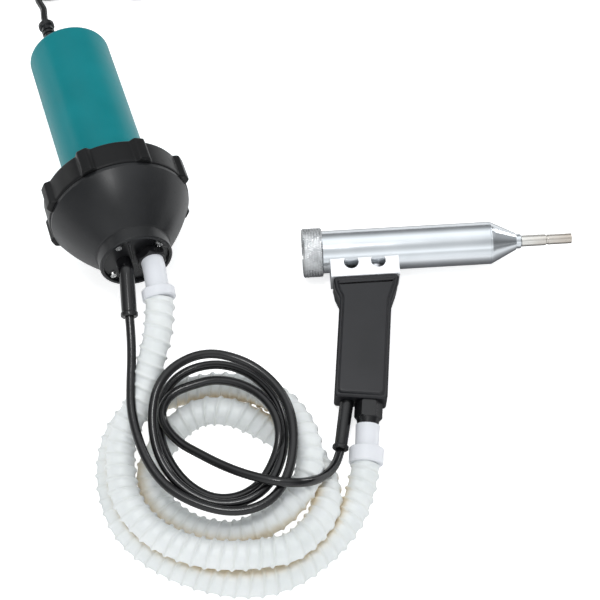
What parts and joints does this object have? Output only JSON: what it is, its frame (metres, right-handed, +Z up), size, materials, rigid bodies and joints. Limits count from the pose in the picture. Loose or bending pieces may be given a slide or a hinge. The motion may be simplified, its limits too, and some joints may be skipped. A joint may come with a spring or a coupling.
{
  "type": "hot-air welding torch with blower",
  "caption": "Hand torch for hot-air plastic welding, fed through a corrugated hose by its own barrel-shaped electric blower.",
  "frame": {"origin": "middle of the box of blower and torch as they lie, on the surface", "axes": "+X runs to the right, about along the torch barrel from cap to nozzle; +Y runs away from the hose coil towards the blower; +Z is up"},
  "size_m": [0.4635, 0.5968, 0.1119],
  "materials": {
    "teal_housing": "satin moulded plastic",
    "black_plastic": "satin moulded plastic",
    "ring_plastic": "matte moulded plastic",
    "switch_rocker": "gloss",
    "grip_plastic": "satin moulded plastic",
    "cuff_white": "satin soft plastic",
    "hose_white": "satin soft corrugated",
    "cable_rubber": "satin rubber",
    "foam_grey": "open foam",
    "screw_steel": "zinc plated",
    "motor_steel": "laminated",
    "copper_winding": "enamelled wire",
    "carbon": "matt carbon",
    "fan_aluminium": "pressed",
    "barrel_steel": "polished",
    "cap_steel": "knurled",
    "bracket_aluminium": "bead blasted",
    "nozzle_steel": "heat tinted",
    "ceramic": "unglazed ceramic",
    "board": "circuit board",
    "pin_brass": "nickel plated"
  },
  "bodies": {
    "set": {"motor_housing": "teal_housing", "rocker_frame": "black_plastic", "motor_flange": "black_plastic", "filter_screen": "motor_steel", "filter_foam": "foam_grey", "fan_housing": "black_plastic", "end_plate": "black_plastic", "plate_screws": "screw_steel", "outlet_nut": "black_plastic", "outlet_spigot": "black_plastic", "mains_boot": "cable_rubber", "motor_end_bracket": "black_plastic", "stator_core": "motor_steel", "field_coils": "copper_winding", "brush_holders": "pin_brass", "carbon_brushes": "carbon", "diffuser": "fan_aluminium", "blower_hose_cuff": "cuff_white", "blower_cable_boot": "cable_rubber", "rear_bearing": "motor_steel", "front_bearing": "motor_steel", "rear_cap": "cap_steel", "cap_set_screws": "screw_steel", "rear_cover": "black_plastic", "potentiometer": "motor_steel", "nose_cone": "barrel_steel", "heater_core": "ceramic", "heating_wire": "nozzle_steel", "mica_sleeve": "ceramic", "heat_shield": "motor_steel", "barrel_tube": "barrel_steel", "saddle_bracket": "bracket_aluminium", "control_board": "board", "left_grip_half": "grip_plastic", "right_grip_half": "grip_plastic", "grip_screws": "screw_steel", "air_duct": "bracket_aluminium", "hose_nut": "black_plastic", "torch_hose_cuff": "cuff_white", "torch_cable_boot": "cable_rubber", "hose_blower_lead": "hose_white", "hose_coil": "hose_white", "hose_torch_lead": "hose_white", "cable_blower_lead": "cable_rubber", "cable_coil": "cable_rubber", "cable_torch_lead": "cable_rubber", "mains_lead": "cable_rubber", "mains_coil": "cable_rubber", "mains_plug": "cable_rubber", "plug_pins": "pin_brass"},
    "rotor": {"motor_shaft": "motor_steel", "commutator": "copper_winding", "armature_core": "motor_steel", "rear_impeller": "fan_aluminium", "front_impeller": "fan_aluminium"},
    "rocker": {"rocker": "switch_rocker"},
    "ring_seat": {"slip_washer": "cuff_white"},
    "union_ring": {"union_ring": "ring_plastic"},
    "nozzle": {"nozzle": "nozzle_steel"},
    "knob": {"temperature_knob": "black_plastic"}
  },
  "joints": [
    {"name": "fan_spin", "type": "hinge", "parent": "set", "child": "rotor", "pos_m": [-0.15142, 0.06527, 0.04649], "axis": [0.3118, -0.9373, 0.156], "continuous": true},
    {"name": "power_switch", "type": "hinge", "parent": "set", "child": "rocker", "pos_m": [-0.17462, 0.16034, 0.02299], "axis": [-0.0492, 0.148, 0.9878], "range_deg": [0, 14]},
    {"name": "ring_travel", "type": "slide", "parent": "set", "child": "ring_seat", "axis": [-0.3118, 0.9373, -0.156], "range_m": [0, 0.003]},
    {"name": "ring_turn", "type": "hinge", "parent": "ring_seat", "child": "union_ring", "pos_m": [-0.13256, 0.00857, 0.05593], "axis": [0.3118, -0.9373, 0.156], "range_deg": [0, 360]},
    {"name": "nozzle_pull", "type": "slide", "parent": "set", "child": "nozzle", "axis": [0.9979, 0.064, 0], "range_m": [0, 0.03]},
    {"name": "temperature", "type": "hinge", "parent": "set", "child": "knob", "pos_m": [0.01039, -0.01571, 0.0187], "axis": [-0.9979, -0.064, 0], "range_deg": [0, 270]}
  ],
  "couplings": [
    {"joint": "ring_travel", "follows": "ring_turn", "m_per_rad": 0.00047746}
  ]
}
